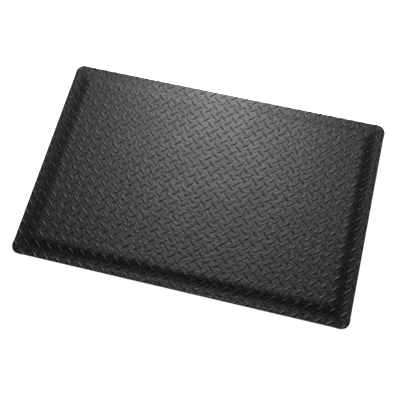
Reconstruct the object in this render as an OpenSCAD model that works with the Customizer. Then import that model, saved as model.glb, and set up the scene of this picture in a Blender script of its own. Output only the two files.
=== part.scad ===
// Anti fatigue mat: an embossed vinyl wear sheet laminated to a closed cell foam core,
// with a thin gripping skin underneath and all four sides sloped down to a low rim.
// The origin is on the floor under the middle of the mat, X runs along the long side.

/* [Mat] */
// Length of the long sides
mat_l = 914.4; // [450:1:1500]
// Length of the short sides
mat_w = 609.6; // [400:1:1000]
// Radius of the corners seen from above
corner_r = 36; // [8:1:40]
// How far a side has swung out where it would meet the next side
corner_flare = 7; // [0:0.5:8]
// Length of side over which a corner swings out
flare_run = 50; // [45:5:100]

/* [Sloping border] */
// Width of the thin apron at the rim
apron_w = 18; // [2:1:30]
// Slope of the apron, rise over run
rim_slope = 0.03; // [0:0.01:0.05]
// Width of the hollow in which the apron turns up into the slope
hollow_w = 18; // [5:1:40]
// Width of the straight slope
slant_w = 7; // [2:1:30]
// Width of the rounded shoulder at the top of the slope
shoulder_w = 12; // [4:1:30]

/* [Layers] */
// Thickness of the foam under the flat top
foam_t = 10.5; // [6:0.1:20]
// Thickness of the foam where it is crushed at the rim
foam_rim_t = 0.5; // [0.3:0.1:2]
// Thickness of the wear sheet between its lugs
sheet_t = 1.6; // [1:0.1:4]
// Thickness of each film of adhesive
film_t = 0.2; // [0.1:0.05:0.5]
// Thickness of the gripping skin underneath
backing_t = 0.4; // [0.3:0.1:1.5]

/* [Raised lugs] */
// Distance between like lugs along the long side
lug_pitch_x = 31.26; // [28:0.01:60]
// Distance between like lugs along the short side
lug_pitch_y = 30.12; // [28:0.01:60]
// Angle by which the whole pattern is turned against the long side
pattern_turn = 1.38; // [-3:0.01:3]
// Shift of the pattern along the long side
pattern_x = 10.4; // [-30:0.1:30]
// Shift of the pattern along the short side
pattern_y = 10.6; // [-30:0.1:30]
// Length of a lug from tip to tip
lug_l = 26; // [12:0.5:28]
// Width of a lug across its middle
lug_w = 7; // [3:0.5:8]
// Height of a lug above the sheet
lug_h = 1.4; // [0.5:0.1:2]

/* [Hidden] */

half_l = mat_l / 2;
half_w = mat_w / 2;
slant_u = apron_w + hollow_w;        // from the rim in to the straight slope
shoulder_u = slant_u + slant_w;      // from the rim in to the shoulder
border_w = shoulder_u + shoulder_w;  // from the rim in to the flat top
hollow_steps = 5;                    // flat facets on the hollow
shoulder_steps = 4;                  // flat facets on the rounded shoulder
rise = foam_t - foam_rim_t;          // of the flat top above the rim
max_slope = (rise - rim_slope * (apron_w + hollow_w / 2)) / (hollow_w / 2 + slant_w + shoulder_w / 2);
arc_steps = 8;                       // flat facets on each corner of the outline
flare_steps = 4;                     // flat facets on each swing of a side
overreach = 20;                      // cutting solids reach this far past what they cut

// Levels of the flat seams, from the floor up
base_film_z = backing_t;
foam_z = base_film_z + film_t;

// Heights of the sloping surfaces above the floor at the rim
foam_rim_z = foam_z + foam_rim_t;
sheet_rim_z = foam_rim_z + film_t;
rim_z = sheet_rim_z + sheet_t;
top_z = rim_z + rise;

// Rise of a sloping surface at a distance u in from the rim: apron, hollow, slant, shoulder
function border_rise(u) =
    u <= 0 ? 0
    : u <= apron_w ? rim_slope * u
    : u <= slant_u ? rim_slope * u + (max_slope - rim_slope) * pow(u - apron_w, 2) / (2 * hollow_w)
    : u <= shoulder_u ? rise - max_slope * (border_w - shoulder_w / 2 - u)
    : u < border_w ? rise - max_slope * pow(border_w - u, 2) / (2 * shoulder_w)
    : rise;

// Distances from the rim at which the slope is divided into facets
stations = concat(
    [0],
    [for (i = [0 : hollow_steps]) apron_w + hollow_w * i / hollow_steps],
    [for (i = [0 : shoulder_steps]) shoulder_u + shoulder_w * i / shoulder_steps]
);
last = len(stations) - 1;

// How far a corner has swung out at a distance e from the end of a side
function flare(e) = corner_flare * pow(max(0, 1 - e / flare_run), 2);

// A point of the outline, swung out near the corners
function swung(p) = [
    p[0] + sign(p[0]) * flare(half_w - abs(p[1])),
    p[1] + sign(p[1]) * flare(half_l - abs(p[0]))
];

// One quarter of the outline, from the middle of a long side to that of a short side
quarter = concat(
    [for (i = [0 : flare_steps]) [half_l - flare_run + (flare_run - corner_r) * i / flare_steps, half_w]],
    [for (i = [1 : arc_steps - 1]) [
        half_l - corner_r + corner_r * sin(90 * i / arc_steps),
        half_w - corner_r + corner_r * cos(90 * i / arc_steps)
    ]],
    [for (i = [0 : flare_steps]) [half_l, half_w - corner_r - (flare_run - corner_r) * i / flare_steps]]
);

module outline() {
    far = len(quarter) - 1;
    polygon([for (p = concat(
        quarter,
        [for (i = [far : -1 : 0]) [quarter[i][0], -quarter[i][1]]],
        [for (p = quarter) [-p[0], -p[1]]],
        [for (i = [far : -1 : 0]) [-quarter[i][0], quarter[i][1]]]
    )) swung(p)]);
}

// Upright section of everything below a sloping surface, for a mat of half width half
module section(half, rim_height, floor_z) {
    edge = half + overreach;
    polygon(concat(
        [[-edge, floor_z], [-edge, rim_height]],
        [for (i = [0 : last]) [-half + stations[i], rim_height + border_rise(stations[i])]],
        [for (i = [last : -1 : 0]) [half - stations[i], rim_height + border_rise(stations[i])]],
        [[edge, rim_height], [edge, floor_z]]
    ));
}

// Everything below a surface that slopes on all four sides, reaching past the outline
module below(rim_height, floor_z) {
    intersection() {
        rotate([90, 0, 0])
            linear_extrude(mat_w + 2 * overreach, center = true)
                section(half_l, rim_height, floor_z);
        rotate([90, 0, 90])
            linear_extrude(mat_l + 2 * overreach, center = true)
                section(half_w, rim_height, floor_z);
    }
}

// A layer of even height between two sloping surfaces, cut to the outline
module sloped_layer(low_rim_z, high_rim_z) {
    intersection() {
        difference() {
            below(high_rim_z, foam_z);
            below(low_rim_z, foam_z - overreach);
        }
        linear_extrude(top_z + lug_h) outline();
    }
}

// A flat layer cut to the outline
module flat_layer(low_z, thickness) {
    translate([0, 0, low_z]) linear_extrude(thickness) outline();
}

// Plan of one lug: the overlap of two round discs, pointed at both ends
module lug_plan(angle) {
    disc_r = (lug_l * lug_l + lug_w * lug_w) / (4 * lug_w);
    rotate(angle) intersection() {
        translate([0, disc_r - lug_w / 2]) circle(disc_r, $fn = 96);
        translate([0, lug_w / 2 - disc_r]) circle(disc_r, $fn = 96);
    }
}

// Number of pitches from the middle that reach past the outline either way
reach_x = ceil((half_l + overreach) / lug_pitch_x) + 1;
reach_y = ceil((half_w + overreach) / lug_pitch_y) + 1;

// Place of a lug by its column and row, half steps giving the other direction of lug
function lug_place(i, j) = [
    pattern_x + i * lug_pitch_x * cos(pattern_turn) - j * lug_pitch_y * sin(pattern_turn),
    pattern_y + i * lug_pitch_x * sin(pattern_turn) + j * lug_pitch_y * cos(pattern_turn)
];

// Whether a lug at p has its middle inside the straight sides by at least a margin
function inside(p, margin) =
    abs(p[0]) < half_l - margin && abs(p[1]) < half_w - margin;

module lugs() {
    tip = lug_l / 2;
    root_t = sheet_t / 2;  // depth to which a lug is rooted in the sheet
    diagonal = atan2(lug_pitch_y, lug_pitch_x);
    places = concat(
        [for (i = [-reach_x : reach_x], j = [-reach_y : reach_y]) [lug_place(i, j), -diagonal]],
        [for (i = [-reach_x : reach_x], j = [-reach_y : reach_y]) [lug_place(i + 0.5, j + 0.5), diagonal]]
    );
    // on the flat top each lug is a plain raised boss
    for (q = places)
        if (inside(q[0], border_w + tip))
            translate([q[0][0], q[0][1], top_z - root_t])
                linear_extrude(root_t + lug_h) lug_plan(q[1] + pattern_turn);
    // on the border the lugs follow the slope and are cut off at the outline
    intersection() {
        union() {
            for (q = places)
                if (inside(q[0], -tip) && !inside(q[0], border_w + tip))
                    translate([q[0][0], q[0][1], foam_z])
                        linear_extrude(top_z + lug_h) lug_plan(q[1] + pattern_turn);
        }
        difference() {
            below(rim_z + lug_h, foam_z);
            below(rim_z - root_t, foam_z - overreach);
        }
        linear_extrude(top_z + lug_h) outline();
    }
}

module wear_sheet() {
    color([0.10, 0.10, 0.11]) union() {
        sloped_layer(sheet_rim_z, rim_z);
        lugs();
    }
}

module top_bond_film() {
    color([0.75, 0.72, 0.60]) sloped_layer(foam_rim_z, sheet_rim_z);
}

module foam_core() {
    color([0.22, 0.22, 0.23]) intersection() {
        below(foam_rim_z, foam_z);
        linear_extrude(top_z) outline();
    }
}

module base_bond_film() {
    color([0.75, 0.72, 0.60]) flat_layer(base_film_z, film_t);
}

module grip_backing() {
    color([0.14, 0.14, 0.15]) flat_layer(0, backing_t);
}

wear_sheet();
top_bond_film();
foam_core();
base_bond_film();
grip_backing();
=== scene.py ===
"""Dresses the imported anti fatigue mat: an embossed vinyl wear sheet laminated over a foam core.

Every layer is modelled flat, cut to the mat's outline, and then draped over the sloping
border, the way the real laminate is made. Lengths are in metres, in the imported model's frame.
"""

import logging
import math
from dataclasses import dataclass, field
from enum import Enum

import bmesh
import bpy
import numpy as np
from mathutils import Matrix, Vector


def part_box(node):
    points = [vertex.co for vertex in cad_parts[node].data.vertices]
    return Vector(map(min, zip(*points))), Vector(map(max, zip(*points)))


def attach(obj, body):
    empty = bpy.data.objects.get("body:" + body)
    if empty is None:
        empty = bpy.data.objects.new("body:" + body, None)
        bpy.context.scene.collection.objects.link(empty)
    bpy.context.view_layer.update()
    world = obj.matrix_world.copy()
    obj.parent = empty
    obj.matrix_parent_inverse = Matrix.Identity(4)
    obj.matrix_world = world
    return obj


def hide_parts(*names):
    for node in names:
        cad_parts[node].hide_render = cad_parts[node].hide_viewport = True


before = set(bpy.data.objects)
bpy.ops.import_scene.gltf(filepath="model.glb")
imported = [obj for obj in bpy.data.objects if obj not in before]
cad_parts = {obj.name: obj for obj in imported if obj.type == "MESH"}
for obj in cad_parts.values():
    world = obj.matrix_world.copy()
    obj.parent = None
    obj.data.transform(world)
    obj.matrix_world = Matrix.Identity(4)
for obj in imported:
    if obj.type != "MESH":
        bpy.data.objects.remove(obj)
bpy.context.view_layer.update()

LOG = logging.getLogger("mat")
MM = 0.001
MERGE_DISTANCE = 0.01 * MM
WHITE = (1, 1, 1, 1)
PALE = (0.8, 0.8, 0.8, 1)
OVERSIZE = 1.1  # of an uncut sheet, as a multiple of the mat's length
LUG_CREASE = 18  # degrees of bend above which the embossed sheet stays crisp
LAYER_CREASE = 40  # the same for the plain layers
NOISE_ROUGHNESS = 0.55  # share of each finer layer of noise
CLOUD_RANGE = (0.3, 0.7)  # values of the cloud noise that most of a surface has
FACES_DOWN = -0.5  # upward part of a face's normal below which it belongs to the underside


class Slot(Enum):
    """Material slots of the record."""

    VINYL = "wear_vinyl"
    ADHESIVE = "bond_film"
    FOAM = "foam"
    GRIP = "grip_skin"


# ---------------------------------------------------------------- small helpers


def deselect_everything() -> None:
    """Leaves object mode with nothing selected."""
    if bpy.context.object and bpy.context.object.mode != "OBJECT":
        bpy.ops.object.mode_set(mode="OBJECT")
    bpy.ops.object.select_all(action="DESELECT")


def make_active(piece: bpy.types.Object) -> None:
    """Selects one object alone and makes it the active one.

    Args:
        piece: The object that the next operators act on.
    """
    deselect_everything()
    piece.select_set(True)
    bpy.context.view_layer.objects.active = piece


def apply_modifier(piece: bpy.types.Object, kind: str, **settings: object) -> None:
    """Adds one modifier with its settings and applies it at once.

    Args:
        piece: The object to change.
        kind: Blender's name for the kind of modifier.
        **settings: Values set on the modifier before it is applied.
    """
    make_active(piece)
    modifier = piece.modifiers.new(kind.title(), kind)
    for name, value in settings.items():
        setattr(modifier, name, value)
    bpy.ops.object.modifier_apply(modifier=modifier.name)


def vertex_places(mesh: bpy.types.Mesh) -> np.ndarray:
    """Reads every vertex of a mesh.

    Args:
        mesh: The mesh to read.

    Returns:
        One row of x, y and z for each vertex.
    """
    places = np.empty(len(mesh.vertices) * 3)
    mesh.vertices.foreach_get("co", places)
    return places.reshape(-1, 3)


def place_vertices(mesh: bpy.types.Mesh, places: np.ndarray) -> None:
    """Moves every vertex of a mesh.

    Args:
        mesh: The mesh to change.
        places: One row of x, y and z for each vertex.
    """
    mesh.vertices.foreach_set("co", places.ravel())
    mesh.update()


def smoothstep(low: float, high: float, value: np.ndarray) -> np.ndarray:
    """Eases from 0 at low to 1 at high.

    Args:
        low: The value below which the result is 0.
        high: The value above which the result is 1.
        value: Where to evaluate it.

    Returns:
        The eased share for each value.
    """
    share = np.clip((value - low) / (high - low), 0, 1)
    return share * share * (3 - 2 * share)


# ---------------------------------------------------------------- the mat's shape


@dataclass(frozen=True)
class Outline:
    """Plan of the mat: a rectangle with round corners that swing out a little.

    Attributes:
        half_l: Half the length of a long side, between the straight sides.
        half_w: Half the length of a short side.
        corner_r: Radius of the corners.
        corner_flare: How far a side has swung out where it would meet the next side.
        flare_run: Length of side over which a corner swings out.
        corner_cuts: Straight cuts that round one corner.
    """

    half_l: float
    half_w: float
    corner_r: float = 36 * MM
    corner_flare: float = 7 * MM
    flare_run: float = 50 * MM
    corner_cuts: int = 11

    @classmethod
    def around(cls, node: str) -> "Outline":
        """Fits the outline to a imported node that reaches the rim.

        Args:
            node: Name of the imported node.

        Returns:
            The outline whose box is that node's box.
        """
        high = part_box(node)[1]
        swing = cls.corner_flare * (1 - cls.corner_r / cls.flare_run) ** 2
        return cls(high.x - swing, high.y - swing)

    def cutting_planes(self) -> list[tuple[Vector, Vector]]:
        """Lists the upright planes that cut a sheet to the unflared outline.

        Returns:
            A point and an outward normal for each plane.
        """
        planes = [
            (Vector((self.half_l, 0, 0)), Vector((1, 0, 0))),
            (Vector((-self.half_l, 0, 0)), Vector((-1, 0, 0))),
            (Vector((0, self.half_w, 0)), Vector((0, 1, 0))),
            (Vector((0, -self.half_w, 0)), Vector((0, -1, 0))),
        ]
        for across in (1, -1):
            for along in (1, -1):
                middle = Vector(
                    (across * (self.half_l - self.corner_r), along * (self.half_w - self.corner_r), 0)
                )
                for step in range(1, self.corner_cuts + 1):
                    angle = math.pi / 2 * step / (self.corner_cuts + 1)
                    outward = Vector((across * math.cos(angle), along * math.sin(angle), 0))
                    planes.append((middle + outward * self.corner_r, outward))
        return planes

    def swing_corners(self, places: np.ndarray) -> np.ndarray:
        """Moves the edge of a sheet outwards near its corners.

        Args:
            places: Vertices of a sheet cut to the unflared outline.

        Returns:
            The same vertices, swung out.
        """
        x, y = places[:, 0], places[:, 1]
        depth_x, depth_y = self.half_l - abs(x), self.half_w - abs(y)
        moved = places.copy()
        for column, own, other in ((0, depth_x, depth_y), (1, depth_y, depth_x)):
            near_corner = np.clip(1 - other / self.flare_run, 0, 1) ** 2
            near_rim = 1 - smoothstep(self.corner_r, self.flare_run, own)
            moved[:, column] += np.sign(places[:, column]) * self.corner_flare * near_corner * near_rim
        return moved


@dataclass(frozen=True)
class Border:
    """The slope around the mat: a thin apron that turns up into a slant, then a round shoulder.

    Attributes:
        rise: Height of the flat top above the rim.
        apron_w: Width of the thin apron at the rim.
        hollow_w: Width of the hollow in which the apron turns up.
        slant_w: Width of the straight slant.
        shoulder_w: Width of the rounded shoulder.
        rim_slope: Slope of the apron, rise over run.
        mitre_softness: Width over which two slopes blend where they meet at a corner.
        hollow_cuts: Parts into which a plain layer is divided along the hollow.
        shoulder_cuts: Parts into which it is divided along the shoulder.
    """

    rise: float
    apron_w: float = 18 * MM
    hollow_w: float = 18 * MM
    slant_w: float = 7 * MM
    shoulder_w: float = 12 * MM
    rim_slope: float = 0.03
    mitre_softness: float = 14 * MM
    hollow_cuts: int = 7
    shoulder_cuts: int = 6

    @property
    def slant_from(self) -> float:
        """Distance from the rim in to the straight slant."""
        return self.apron_w + self.hollow_w

    @property
    def shoulder_from(self) -> float:
        """Distance from the rim in to the shoulder."""
        return self.slant_from + self.slant_w

    @property
    def width(self) -> float:
        """Distance from the rim in to the flat top."""
        return self.shoulder_from + self.shoulder_w

    @property
    def steepest(self) -> float:
        """Slope of the slant."""
        climbed = self.rim_slope * (self.apron_w + self.hollow_w / 2)
        return (self.rise - climbed) / (self.hollow_w / 2 + self.slant_w + self.shoulder_w / 2)

    def depths(self) -> list[float]:
        """Lists the distances from the rim at which a plain layer is divided.

        Returns:
            The distances, through the hollow and then the shoulder.
        """
        hollow = [
            self.apron_w + self.hollow_w * step / self.hollow_cuts for step in range(self.hollow_cuts + 1)
        ]
        shoulder = [
            self.shoulder_from + self.shoulder_w * step / self.shoulder_cuts
            for step in range(self.shoulder_cuts + 1)
        ]
        return hollow + shoulder

    def height(self, depth: np.ndarray) -> np.ndarray:
        """Gives the rise of the slope above the rim.

        Args:
            depth: Distances in from the rim.

        Returns:
            The height above the rim at each distance.
        """
        inward = np.clip(depth, 0, self.width)
        turned = np.clip(inward - self.apron_w, 0, self.hollow_w)
        upturn = (self.steepest - self.rim_slope) * turned**2 / (2 * self.hollow_w)
        hollow = self.rim_slope * inward + upturn
        slant = self.rise - self.steepest * (self.width - self.shoulder_w / 2 - inward)
        shoulder = self.rise - self.steepest * (self.width - inward) ** 2 / (2 * self.shoulder_w)
        lower = np.where(inward <= self.slant_from, hollow, slant)
        return np.where(inward <= self.shoulder_from, lower, shoulder)

    def drape(self, places: np.ndarray, outline: Outline) -> np.ndarray:
        """Lifts a flat sheet over the foam's slopes.

        Args:
            places: Vertices of a flat sheet cut to the outline.
            outline: The outline that the slopes follow.

        Returns:
            The same vertices, lifted.
        """
        depth_x = outline.half_l - abs(places[:, 0])
        depth_y = outline.half_w - abs(places[:, 1])
        overlap = np.clip(1 - abs(depth_x - depth_y) / self.mitre_softness, 0, 1)
        depth = np.minimum(depth_x, depth_y) - overlap**2 * self.mitre_softness / 4
        lifted = places.copy()
        lifted[:, 2] += self.height(depth)
        return lifted


# ---------------------------------------------------------------- the tread pattern


@dataclass(frozen=True)
class Lug:
    """One raised lug, pointed at both ends, with its share of the sheet around it.

    Attributes:
        length: From tip to tip.
        width: Across the middle.
        height: Above the sheet.
        site: Distance between the middles of neighbouring lugs.
        tip_room: How far the share of sheet bulges past a tip.
        ring_points: Points on each ring of the lug.
    """

    length: float = 26.0 * MM
    width: float = 7.0 * MM
    height: float = 1.4 * MM
    site: float = 21.76 * MM
    tip_room: float = 4.4 * MM
    ring_points: int = 16

    # share of the half length, share of the half width and share of the height of each ring
    RINGS = ((1.0, 1.0, 0.0), (0.955, 0.72, 0.44), (0.87, 0.40, 0.83), (0.74, 0.06, 1.0))

    def half_width_at(self, along: float, half_length: float, half_width: float) -> float:
        """Gives the half width of a shape bounded by two arcs.

        Args:
            along: Distance from the middle, along the shape.
            half_length: From the middle to a tip.
            half_width: From the middle to a flank.

        Returns:
            The half width at that distance.
        """
        radius = (half_length**2 + half_width**2) / (2 * half_width)
        return math.sqrt(max(0, radius**2 - along**2)) - (radius - half_width)

    def sheet_point(self, step: int) -> tuple[float, float, float]:
        """Places a point of the edge where this lug's share of sheet meets its neighbours'.

        Args:
            step: Which point, counted round from the tip.

        Returns:
            Its x, y and z, with the lug along X.
        """
        quarter = self.ring_points // 4
        side, past = divmod(step + quarter // 2, quarter)
        offset = past - quarter // 2
        bulge = self.tip_room * (1 - abs(offset) / (quarter / 2))
        out = self.site / 2 + (bulge if side % 2 == 0 else -bulge)
        across = self.site * offset / quarter
        turn = Matrix.Rotation(math.pi / 2 * side, 3, "Z")
        return tuple(turn @ Vector((out, across, 0)))

    def ring_point(self, ring: int, step: int) -> tuple[float, float, float]:
        """Places one point of one ring.

        Args:
            ring: Which ring, from the lug's foot up.
            step: Which point of the ring, counted round from the tip.

        Returns:
            Its x, y and z, with the lug along X.
        """
        long_share, wide_share, high_share = self.RINGS[ring]
        angle = 2 * math.pi * step / self.ring_points
        half_length, half_width = self.length / 2 * long_share, self.width / 2 * wide_share
        along = half_length * math.cos(angle)
        across = self.half_width_at(along, half_length, half_width) * math.copysign(1, math.sin(angle))
        return along, across, self.height * high_share

    def build(self, name: str) -> bpy.types.Object:
        """Models the lug on its share of sheet: a disc is inset ring by ring and shaped.

        Args:
            name: Name of the new object.

        Returns:
            The lug, along X, with its middle at the origin.
        """
        deselect_everything()
        disc_r = self.site / 2
        bpy.ops.mesh.primitive_circle_add(vertices=self.ring_points, radius=disc_r, fill_type="NGON")
        piece = bpy.context.object
        piece.name = name
        bpy.ops.object.mode_set(mode="EDIT")
        bpy.ops.mesh.select_all(action="SELECT")
        inset = disc_r / (len(self.RINGS) + 1)
        for _ in self.RINGS:
            bpy.ops.mesh.inset(thickness=inset)
        bpy.ops.object.mode_set(mode="OBJECT")
        self.shape_rings(piece.data, inset)
        return piece

    def shape_rings(self, mesh: bpy.types.Mesh, inset: float) -> None:
        """Moves the even rings of the inset disc to the lug's own rings.

        Args:
            mesh: The inset disc.
            inset: Distance between its rings.
        """
        corner_step = inset / math.cos(math.pi / self.ring_points)
        for vertex in mesh.vertices:
            reach = math.hypot(vertex.co.x, vertex.co.y)
            angle = math.atan2(vertex.co.y, vertex.co.x)
            step = round(angle / (2 * math.pi) * self.ring_points) % self.ring_points
            ring = round((self.site / 2 - reach) / corner_step)
            vertex.co = self.sheet_point(step) if ring == 0 else self.ring_point(ring - 1, step)


@dataclass(frozen=True)
class Tread:
    """The lug pattern over the whole mat.

    Attributes:
        pitch_x: Distance between like lugs along the long side.
        pitch_y: Distance between like lugs along the short side.
        turn: Angle by which the whole pattern is turned.
        shift_x: Shift of the pattern along the long side.
        shift_y: Shift of the pattern along the short side.
        margin: How far the pattern reaches past the outline before it is cut.
    """

    pitch_x: float = 31.26 * MM
    pitch_y: float = 30.12 * MM
    turn: float = math.radians(1.38)
    shift_x: float = 10.4 * MM
    shift_y: float = 10.6 * MM
    margin: float = 40 * MM

    def build(self, outline: Outline, lug: Lug) -> bpy.types.Object:
        """Repeats a pair of crossed lugs over the plan and welds their shares of sheet.

        Args:
            outline: The outline that the pattern has to cover.
            lug: The lug that is repeated.

        Returns:
            A flat embossed sheet, larger than the mat, with its face at z = 0.
        """
        along = lug.build("embossed_wear_sheet")
        across = lug.build("second_lug")
        across.data.transform(Matrix.Rotation(math.pi / 2, 4, "Z"))
        across.data.transform(Matrix.Translation((lug.site, 0, 0)))
        make_active(along)
        across.select_set(True)
        bpy.ops.object.join()

        even = lug.site * math.sqrt(2)
        along.data.transform(Matrix.Rotation(math.pi / 4, 4, "Z"))
        count_x = 2 * math.ceil((outline.half_l + self.margin) / self.pitch_x)
        count_y = 2 * math.ceil((outline.half_w + self.margin) / self.pitch_y)
        for count, step in ((count_x, (even, 0, 0)), (count_y, (0, even, 0))):
            apply_modifier(
                along, "ARRAY", count=count, use_relative_offset=False,
                use_constant_offset=True, constant_offset_displace=step,
            )
        self.place(along, even, count_x, count_y)
        bpy.ops.object.mode_set(mode="EDIT")
        bpy.ops.mesh.select_all(action="SELECT")
        bpy.ops.mesh.remove_doubles(threshold=MERGE_DISTANCE)
        bpy.ops.object.mode_set(mode="OBJECT")
        return along

    def place(self, sheet: bpy.types.Object, even: float, count_x: int, count_y: int) -> None:
        """Stretches the even pattern to its two pitches, turns it and shifts it into place.

        Args:
            sheet: The pattern with equal pitches and its first lug at the origin.
            even: The equal pitch.
            count_x: Pairs of lugs along X.
            count_y: Pairs of lugs along Y.
        """
        first = Vector(((0.5 - count_x / 2) * self.pitch_x, (0.5 - count_y / 2) * self.pitch_y, 0))
        stretch = Matrix.Diagonal((self.pitch_x / even, self.pitch_y / even, 1, 1))
        sheet.data.transform(stretch)
        sheet.data.transform(Matrix.Translation(first))
        sheet.data.transform(Matrix.Rotation(self.turn, 4, "Z"))
        sheet.data.transform(Matrix.Translation((self.shift_x, self.shift_y, 0)))


# ---------------------------------------------------------------- cutting and closing layers


def cut_to_outline(piece: bpy.types.Object, outline: Outline) -> None:
    """Cuts away everything outside the outline.

    Args:
        piece: A flat sheet that is larger than the mat.
        outline: The outline to cut to.
    """
    make_active(piece)
    bpy.ops.object.mode_set(mode="EDIT")
    for point, outward in outline.cutting_planes():
        bpy.ops.mesh.select_all(action="SELECT")
        bpy.ops.mesh.bisect(
            plane_co=point, plane_no=outward, clear_outer=True, threshold=MERGE_DISTANCE
        )
    bpy.ops.object.mode_set(mode="OBJECT")


def divide_under_slopes(outline: Outline, border: Border) -> None:
    """Cuts the visible faces of the mesh being edited along lines that follow the slopes.

    Args:
        outline: The outline that the lines follow.
        border: The slope that needs the lines.
    """
    depths = border.depths() + [outline.flare_run]
    for half, outward in ((outline.half_l, Vector((1, 0, 0))), (outline.half_w, Vector((0, 1, 0)))):
        for depth in depths:
            for way in (1, -1):
                bpy.ops.mesh.select_all(action="SELECT")
                bpy.ops.mesh.bisect(
                    plane_co=outward * (half - depth) * way, plane_no=outward, threshold=MERGE_DISTANCE
                )


def select_faces_at(piece: bpy.types.Object, level: float) -> None:
    """Selects the flat faces at one level of the mesh being edited, and nothing else.

    Args:
        piece: The object in edit mode.
        level: Height of the faces.
    """
    mesh = bmesh.from_edit_mesh(piece.data)
    for face in mesh.faces:
        face.select = all(abs(vertex.co.z - level) < MERGE_DISTANCE for vertex in face.verts)
    mesh.select_flush_mode()
    bmesh.update_edit_mesh(piece.data)


def close_below(piece: bpy.types.Object, thickness: float, outline: Outline, border: Border) -> None:
    """Gives a flat open sheet its cut edge and its underside.

    Args:
        piece: An open sheet, cut to the outline, with its face at z = 0.
        thickness: Thickness of the finished sheet.
        outline: The outline that it was cut to.
        border: The slope that it will be draped over.
    """
    make_active(piece)
    bpy.ops.object.mode_set(mode="EDIT")
    bpy.ops.mesh.select_mode(type="EDGE")
    bpy.ops.mesh.select_all(action="SELECT")
    bpy.ops.mesh.region_to_loop()
    bpy.ops.mesh.extrude_edges_move(TRANSFORM_OT_translate={"value": (0, 0, -thickness)})
    mesh = bmesh.from_edit_mesh(piece.data)
    for vertex in mesh.verts:
        if vertex.select:
            vertex.co.z = -thickness
    bmesh.update_edit_mesh(piece.data)
    bpy.ops.mesh.edge_face_add()
    bpy.ops.mesh.select_mode(type="FACE")
    select_faces_at(piece, -thickness)
    bpy.ops.mesh.hide(unselected=True)
    divide_under_slopes(outline, border)
    bpy.ops.mesh.reveal(select=False)
    bpy.ops.mesh.select_all(action="SELECT")
    bpy.ops.mesh.normals_make_consistent(inside=False)
    bpy.ops.object.mode_set(mode="OBJECT")


def plain_sheet(name: str, outline: Outline, border: Border) -> bpy.types.Object:
    """Models a plain flat sheet, divided where it will bend over the slopes.

    Args:
        name: Name of the new object.
        outline: The outline to cut it to.
        border: The slope that it will be draped over.

    Returns:
        An open sheet with its face at z = 0.
    """
    deselect_everything()
    bpy.ops.mesh.primitive_plane_add(size=2 * outline.half_l * OVERSIZE)
    piece = bpy.context.object
    piece.name = name
    cut_to_outline(piece, outline)
    bpy.ops.object.mode_set(mode="EDIT")
    divide_under_slopes(outline, border)
    bpy.ops.object.mode_set(mode="OBJECT")
    return piece


def set_shading(piece: bpy.types.Object, crease_degrees: float) -> None:
    """Shades a piece smooth, with creases where it bends sharply.

    Args:
        piece: The object to shade.
        crease_degrees: The bend above which an edge stays crisp.
    """
    make_active(piece)
    bpy.ops.object.shade_smooth_by_angle(angle=math.radians(crease_degrees))


# ---------------------------------------------------------------- node groups and finishes


def new_group(name: str, inputs: dict[str, float], outputs: dict[str, str]) -> bpy.types.ShaderNodeTree:
    """Starts a shader node group with named sockets.

    Args:
        name: Name of the group.
        inputs: Each value input with its default.
        outputs: Each output with its socket type.

    Returns:
        The group, with only its input and output nodes in it.
    """
    group = bpy.data.node_groups.new(name, "ShaderNodeTree")
    group.interface.new_socket("Vector", in_out="INPUT", socket_type="NodeSocketVector")
    for title, value in inputs.items():
        socket = group.interface.new_socket(title, in_out="INPUT", socket_type="NodeSocketFloat")
        socket.default_value = value
    for title, kind in outputs.items():
        group.interface.new_socket(title, in_out="OUTPUT", socket_type=kind)
    group.nodes.new("NodeGroupInput")
    group.nodes.new("NodeGroupOutput")
    return group


def add_node(
    tree: bpy.types.NodeTree, kind: str, values: dict[str, object] | None = None, **settings: object
) -> bpy.types.Node:
    """Adds a node with its settings and socket values.

    Args:
        tree: The tree that gets the node.
        kind: Blender's name for the kind of node.
        values: Default values by socket name.
        **settings: Properties set on the node itself.

    Returns:
        The new node.
    """
    node = tree.nodes.new(kind)
    for name, value in settings.items():
        setattr(node, name, value)
    for name, value in (values or {}).items():
        node.inputs[name].default_value = value
    return node


def switch(
    tree: bpy.types.NodeTree,
    chooser: bpy.types.NodeSocket,
    when_off: bpy.types.NodeSocket,
    when_on: bpy.types.NodeSocket,
    leave: bpy.types.Node,
) -> None:
    """Shows one of two shaders.

    Args:
        tree: The tree that holds both.
        chooser: Output that is 1 where the second shader shows.
        when_off: Output of the first shader.
        when_on: Output of the second shader.
        leave: The tree's output node.
    """
    either = add_node(tree, "ShaderNodeMixShader")
    for source, target in zip((chooser, when_off, when_on), either.inputs):
        tree.links.new(source, target)
    tree.links.new(either.outputs["Shader"], leave.inputs["Surface"])


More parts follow.
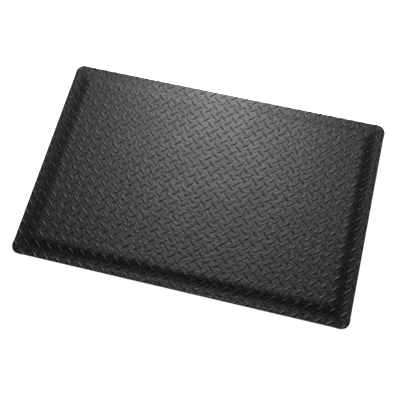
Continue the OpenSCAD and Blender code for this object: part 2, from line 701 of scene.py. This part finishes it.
def moulded_grain_group() -> bpy.types.ShaderNodeTree:
    """Builds the fine grain on a slow ripple that calendered vinyl and foam skins share.

    Returns:
        A group that gives the height of the grain and a cloudy mask.
    """
    group = new_group(
        "moulded_grain",
        {"Grain Size": 0.0009, "Cloud Size": 0.12, "Ripple Size": 0.005, "Ripple Height": 1.0},
        {"Height": "NodeSocketFloat", "Clouds": "NodeSocketFloat"},
    )
    entry, leave = group.nodes["Group Input"], group.nodes["Group Output"]
    link = group.links.new

    def noise_of(size: str, detail: float) -> bpy.types.Node:
        """Adds a noise whose features have the size given by one input.

        Args:
            size: Name of the input that gives the size.
            detail: How many finer layers the noise has.

        Returns:
            The noise node.
        """
        scale = add_node(group, "ShaderNodeMath", operation="DIVIDE")
        scale.inputs[0].default_value = 1
        link(entry.outputs[size], scale.inputs[1])
        noise = add_node(group, "ShaderNodeTexNoise", {"Detail": detail, "Roughness": NOISE_ROUGHNESS})
        link(entry.outputs["Vector"], noise.inputs["Vector"])
        link(scale.outputs[0], noise.inputs["Scale"])
        return noise

    grain, clouds, ripple = noise_of("Grain Size", 2), noise_of("Cloud Size", 3), noise_of("Ripple Size", 1)
    rippled = add_node(group, "ShaderNodeMath", operation="MULTIPLY")
    link(ripple.outputs["Fac"], rippled.inputs[0])
    link(entry.outputs["Ripple Height"], rippled.inputs[1])
    height = add_node(group, "ShaderNodeMath", operation="ADD")
    link(grain.outputs["Fac"], height.inputs[0])
    link(rippled.outputs[0], height.inputs[1])
    link(height.outputs[0], leave.inputs["Height"])
    link(clouds.outputs["Fac"], leave.inputs["Clouds"])
    return group


@dataclass(frozen=True)
class Finish:
    """A moulded finish: a base colour and a gloss that drift a little, and a rippled grain.

    Attributes:
        name: Name of the material.
        dark: Base colour where the clouds are thin, linear.
        light: Base colour where the clouds are thick, linear.
        gloss: Roughness where the clouds are thin.
        matt: Roughness where the clouds are thick.
        grain: Size of the grain.
        depth: Height of the grain.
        ripple: Size of the ripples.
        ripple_height: Height of the ripples, as a multiple of the grain's.
        cloud: Size of the clouds.
        specular: Strength of the surface reflection.
    """

    name: str
    dark: tuple[float, float, float]
    light: tuple[float, float, float]
    gloss: float
    matt: float
    grain: float
    depth: float
    ripple: float
    ripple_height: float
    cloud: float
    specular: float = 0.5

    def build(self, grain_group: bpy.types.ShaderNodeTree) -> bpy.types.Material:
        """Makes the material.

        Args:
            grain_group: The shared grain.

        Returns:
            The material, ready to be put on a piece.
        """
        material = bpy.data.materials.new(self.name)
        material.use_nodes = True
        tree = material.node_tree
        shader = tree.nodes["Principled BSDF"]
        shader.inputs["Specular IOR Level"].default_value = self.specular
        link = tree.links.new

        where = add_node(tree, "ShaderNodeTexCoord")
        sizes = {
            "Grain Size": self.grain, "Cloud Size": self.cloud,
            "Ripple Size": self.ripple, "Ripple Height": self.ripple_height,
        }
        grain = add_node(tree, "ShaderNodeGroup", node_tree=grain_group)
        for title, value in sizes.items():
            grain.inputs[title].default_value = value
        link(where.outputs["Object"], grain.inputs["Vector"])

        colour = add_node(tree, "ShaderNodeMix", data_type="RGBA")
        colour.inputs["A"].default_value = (*self.dark, 1)
        colour.inputs["B"].default_value = (*self.light, 1)
        link(grain.outputs["Clouds"], colour.inputs["Factor"])
        link(colour.outputs["Result"], shader.inputs["Base Color"])

        thin, thick = CLOUD_RANGE
        spread = {"From Min": thin, "From Max": thick, "To Min": self.gloss, "To Max": self.matt}
        gloss = add_node(tree, "ShaderNodeMapRange", spread)
        link(grain.outputs["Clouds"], gloss.inputs["Value"])
        link(gloss.outputs["Result"], shader.inputs["Roughness"])

        bump = add_node(tree, "ShaderNodeBump", {"Strength": 1.0, "Distance": self.depth})
        link(grain.outputs["Height"], bump.inputs["Height"])
        link(bump.outputs["Normal"], shader.inputs["Normal"])
        return material


FINISHES = {
    Slot.VINYL: Finish(
        "satin_black_vinyl", dark=(0.0025, 0.0025, 0.0028), light=(0.004, 0.004, 0.004),
        gloss=0.56, matt=0.62, grain=0.9 * MM, depth=0.03 * MM,
        ripple=8 * MM, ripple_height=60.0, cloud=90 * MM,
    ),
    Slot.ADHESIVE: Finish(
        "dull_amber_adhesive", dark=(0.30, 0.24, 0.12), light=(0.42, 0.36, 0.20),
        gloss=0.45, matt=0.60, grain=1.5 * MM, depth=0.02 * MM,
        ripple=8 * MM, ripple_height=2.0, cloud=20 * MM,
    ),
    Slot.FOAM: Finish(
        "charcoal_closed_cell_foam", dark=(0.016, 0.016, 0.018), light=(0.030, 0.030, 0.033),
        gloss=0.80, matt=0.92, grain=0.6 * MM, depth=0.15 * MM,
        ripple=3 * MM, ripple_height=0.5, cloud=30 * MM, specular=0.3,
    ),
    Slot.GRIP: Finish(
        "matt_black_grip_skin", dark=(0.014, 0.014, 0.015), light=(0.024, 0.024, 0.026),
        gloss=0.70, matt=0.85, grain=1.8 * MM, depth=0.20 * MM,
        ripple=6 * MM, ripple_height=1.0, cloud=40 * MM, specular=0.3,
    ),
}


def dress(piece: bpy.types.Object, slot: Slot, materials: dict[Slot, bpy.types.Material]) -> None:
    """Puts one material on a whole piece.

    Args:
        piece: The piece to dress.
        slot: The record's slot for it.
        materials: The finished materials by slot.
    """
    piece.data.materials.clear()
    piece.data.materials.append(materials[slot])


# ---------------------------------------------------------------- the laminate


@dataclass
class Laminate:
    """The mat's layers, from the floor up.

    Attributes:
        materials: The finished materials by slot.
        outline: Plan shape shared by every layer.
        lug: The lug that the wear sheet repeats.
        border: The slope shared by the foam and what lies on it.
        foam_floor: Height of the foam's underside.
        foam_top: Height of the foam's flat top.
        foam_rim: Height of the foam's face at the rim.
        sheet_rim: Height of the wear sheet's underside at the rim.
        film_t: Thickness of the upper film of adhesive.
        sheet_t: Thickness of the wear sheet between its lugs.
    """

    materials: dict[Slot, bpy.types.Material]
    outline: Outline = field(default_factory=lambda: Outline.around("grip_backing"))
    lug: Lug = field(default_factory=Lug)
    border: Border = field(init=False)
    foam_floor: float = field(init=False)
    foam_top: float = field(init=False)
    foam_rim: float = field(init=False)
    sheet_rim: float = field(init=False)
    film_t: float = field(init=False)
    sheet_t: float = field(init=False)

    def __post_init__(self) -> None:
        """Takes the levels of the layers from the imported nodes."""
        self.foam_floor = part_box("foam_core")[0].z
        self.foam_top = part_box("foam_core")[1].z
        self.foam_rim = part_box("top_bond_film")[0].z
        self.sheet_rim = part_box("wear_sheet")[0].z
        self.film_t = self.sheet_rim - self.foam_rim
        self.sheet_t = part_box("wear_sheet")[1].z - self.lug.height - self.foam_top - self.film_t
        self.border = Border(rise=self.foam_top - self.foam_rim)

    def finish_piece(
        self, piece: bpy.types.Object, node: str, slot: Slot, crease_degrees: float
    ) -> None:
        """Shades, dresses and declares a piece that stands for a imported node.

        Args:
            piece: The finished shape.
            node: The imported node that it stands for.
            slot: The record's slot for its finish.
            crease_degrees: The bend above which an edge stays crisp.
        """
        set_shading(piece, crease_degrees)
        dress(piece, slot, self.materials)
        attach(piece, "root")
        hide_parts(node)

    def lay(self, piece: bpy.types.Object, rim_level: float) -> None:
        """Lifts a closed flat layer to its level and drapes it over the slopes.

        Args:
            piece: The closed flat layer, with its face at z = 0.
            rim_level: Height of its face at the rim.
        """
        places = vertex_places(piece.data)
        places = self.border.drape(places, self.outline)
        places = self.outline.swing_corners(places)
        places[:, 2] += rim_level
        place_vertices(piece.data, places)

    def build_wear_sheet(self) -> bpy.types.Object:
        """Models the embossed vinyl sheet, with its lugs, its cut edge and its underside.

        Returns:
            The dressed sheet.
        """
        piece = Tread().build(self.outline, self.lug)
        cut_to_outline(piece, self.outline)
        close_below(piece, self.sheet_t, self.outline, self.border)
        self.lay(piece, self.sheet_rim + self.sheet_t)
        self.finish_piece(piece, "wear_sheet", Slot.VINYL, LUG_CREASE)
        return piece

    def build_top_film(self) -> bpy.types.Object:
        """Models the film of adhesive between the foam and the wear sheet.

        Returns:
            The dressed film.
        """
        piece = plain_sheet("upper_adhesive", self.outline, self.border)
        close_below(piece, self.film_t, self.outline, self.border)
        self.lay(piece, self.sheet_rim)
        self.finish_piece(piece, "top_bond_film", Slot.ADHESIVE, LAYER_CREASE)
        return piece

    def build_foam(self) -> bpy.types.Object:
        """Models the foam core, flat below and sloped to its crushed edge above.

        Returns:
            The dressed core.
        """
        piece = plain_sheet("sponge_core", self.outline, self.border)
        close_below(piece, self.foam_rim - self.foam_floor, self.outline, self.border)
        self.lay(piece, self.foam_rim)
        places = vertex_places(piece.data)
        under = self.is_underside(piece)
        places[under, 2] = self.foam_floor
        place_vertices(piece.data, places)
        self.finish_piece(piece, "foam_core", Slot.FOAM, LAYER_CREASE)
        return piece

    def is_underside(self, piece: bpy.types.Object) -> np.ndarray:
        """Finds the vertices of a closed layer that its downward faces use.

        Args:
            piece: A closed layer.

        Returns:
            True for each vertex on the underside.
        """
        under = np.zeros(len(piece.data.vertices), bool)
        for polygon in piece.data.polygons:
            if polygon.normal.z < FACES_DOWN:
                under[list(polygon.vertices)] = True
        return under

    def dress_flat_nodes(self) -> None:
        """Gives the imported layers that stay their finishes."""
        for node, slot in (("base_bond_film", Slot.ADHESIVE), ("grip_backing", Slot.GRIP)):
            dress(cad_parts[node], slot, self.materials)
            LOG.info("%s: kept, in %s", node, slot.value)

    def build(self) -> None:
        """Builds and dresses every layer, and reports each one."""
        for make in (self.build_foam, self.build_top_film, self.build_wear_sheet):
            piece = make()
            LOG.info("%s: %d faces", piece.name, len(piece.data.polygons))
        self.dress_flat_nodes()


# ---------------------------------------------------------------- the studio


@dataclass(frozen=True)
class SoftLight:
    """A rectangular soft light that faces a place on the mat.

    Attributes:
        name: Name of the light.
        place: Middle of the light.
        aim: Where it faces.
        size: Width and height of its face.
        power: Its power in watts.
    """

    name: str
    place: tuple[float, float, float]
    aim: tuple[float, float, float]
    size: tuple[float, float]
    power: float

    def build(self) -> None:
        """Adds the light to the scene."""
        lamp = bpy.data.lights.new(self.name, "AREA")
        lamp.shape = "RECTANGLE"
        lamp.size, lamp.size_y = self.size
        lamp.energy = self.power
        holder = bpy.data.objects.new(self.name, lamp)
        holder.visible_camera = False
        bpy.context.scene.collection.objects.link(holder)
        facing = Vector(self.aim) - Vector(self.place)
        holder.matrix_world = Matrix.Translation(self.place) @ facing.to_track_quat(
            "-Z", "Y"
        ).to_matrix().to_4x4()


@dataclass(frozen=True)
class Studio:
    """Floor, lights and camera.

    Attributes:
        eye: Place of the camera.
        target: The place on the floor at the middle of the picture.
        roll: Turn of the camera about its own axis, in degrees.
        lens: Focal length in millimetres.
        sensor: Width of the sensor in millimetres.
        sight: How far the camera sees.
        floor_size: Length of the floor's sides.
        floor_drop: How far the floor lies below the mat, so that the two never flicker.
        floor_glow: Light that the floor gives out itself, so that it stays evenly pale.
        world_glow: Strength of the even light from all round.
        backdrop: Brightness of the pale surroundings as they are seen past the floor.
    """

    eye: tuple[float, float, float] = (0.2779, -0.9322, 2.0476)
    target: tuple[float, float, float] = (0.0008, -0.0380, 0.0)
    roll: float = -3.33
    lens: float = 73.9
    sensor: float = 36.0
    sight: float = 50.0
    floor_size: float = 12.0
    floor_drop: float = 0.1 * MM
    floor_glow: float = 0.95
    world_glow: float = 0.04
    backdrop: float = 1.0

    def floor_finish(self) -> bpy.types.Material:
        """Makes the floor's material: pale and glowing from above, clear from below.

        Returns:
            The material.
        """
        material = bpy.data.materials.new("pale_floor")
        material.use_nodes = True
        tree = material.node_tree
        shader = tree.nodes["Principled BSDF"]
        looks = {
            "Base Color": PALE, "Roughness": 0.9, "Specular IOR Level": 0.0,
            "Emission Color": WHITE, "Emission Strength": self.floor_glow,
        }
        for title, value in looks.items():
            shader.inputs[title].default_value = value
        side = add_node(tree, "ShaderNodeNewGeometry")
        clear = add_node(tree, "ShaderNodeBsdfTransparent")
        switch(
            tree, side.outputs["Backfacing"], shader.outputs["BSDF"], clear.outputs["BSDF"],
            tree.nodes["Material Output"],
        )
        return material

    def build_floor(self) -> None:
        """Lays a plain pale floor that is clear from below, so that the underside can be seen."""
        deselect_everything()
        bpy.ops.mesh.primitive_plane_add(size=self.floor_size, location=(0, 0, -self.floor_drop))
        floor = bpy.context.object
        floor.name = "pale_floor"
        floor.data.materials.append(self.floor_finish())

    def build_lights(self) -> None:
        """Adds a soft light low behind the mat and a weak even fill."""
        SoftLight("back_softbox", (-0.086, 0.652, 0.637), (0.0, 0.0, 0.0), (0.10, 0.90), 19.5).build()
        self.build_surroundings()

    def build_surroundings(self) -> None:
        """Makes the even light from all round, and the pale backdrop past the floor's edge."""
        world = bpy.data.worlds.new("studio")
        world.use_nodes = True
        tree = world.node_tree
        glow = tree.nodes["Background"]
        glow.inputs["Color"].default_value = WHITE
        glow.inputs["Strength"].default_value = self.world_glow
        seen = add_node(tree, "ShaderNodeBackground", {"Color": WHITE, "Strength": self.backdrop})
        ray = add_node(tree, "ShaderNodeLightPath")
        switch(
            tree, ray.outputs["Is Camera Ray"], glow.outputs["Background"], seen.outputs["Background"],
            tree.nodes["World Output"],
        )
        bpy.context.scene.world = world

    def build_camera(self) -> None:
        """Adds the camera and makes it the scene's own."""
        data = bpy.data.cameras.new("camera")
        data.lens = self.lens
        data.sensor_width = self.sensor
        data.clip_end = self.sight
        camera = bpy.data.objects.new("camera", data)
        bpy.context.scene.collection.objects.link(camera)
        eye, target = Vector(self.eye), Vector(self.target)
        level = (target - eye).to_track_quat("-Z", "Y").to_matrix().to_4x4()
        roll = Matrix.Rotation(math.radians(self.roll), 4, "Z")
        camera.matrix_world = Matrix.Translation(eye) @ level @ roll
        bpy.context.scene.camera = camera

    def build(self) -> None:
        """Builds the whole studio."""
        bpy.context.scene.view_settings.view_transform = "Standard"
        self.build_floor()
        self.build_lights()
        self.build_camera()


def main() -> None:
    """Builds the studio and every layer of the mat."""
    logging.basicConfig(level=logging.INFO, format="%(name)s: %(message)s")
    Studio().build()
    grain = moulded_grain_group()
    materials = {slot: finish.build(grain) for slot, finish in FINISHES.items()}
    Laminate(materials).build()


if __name__ == "__main__":
    main()
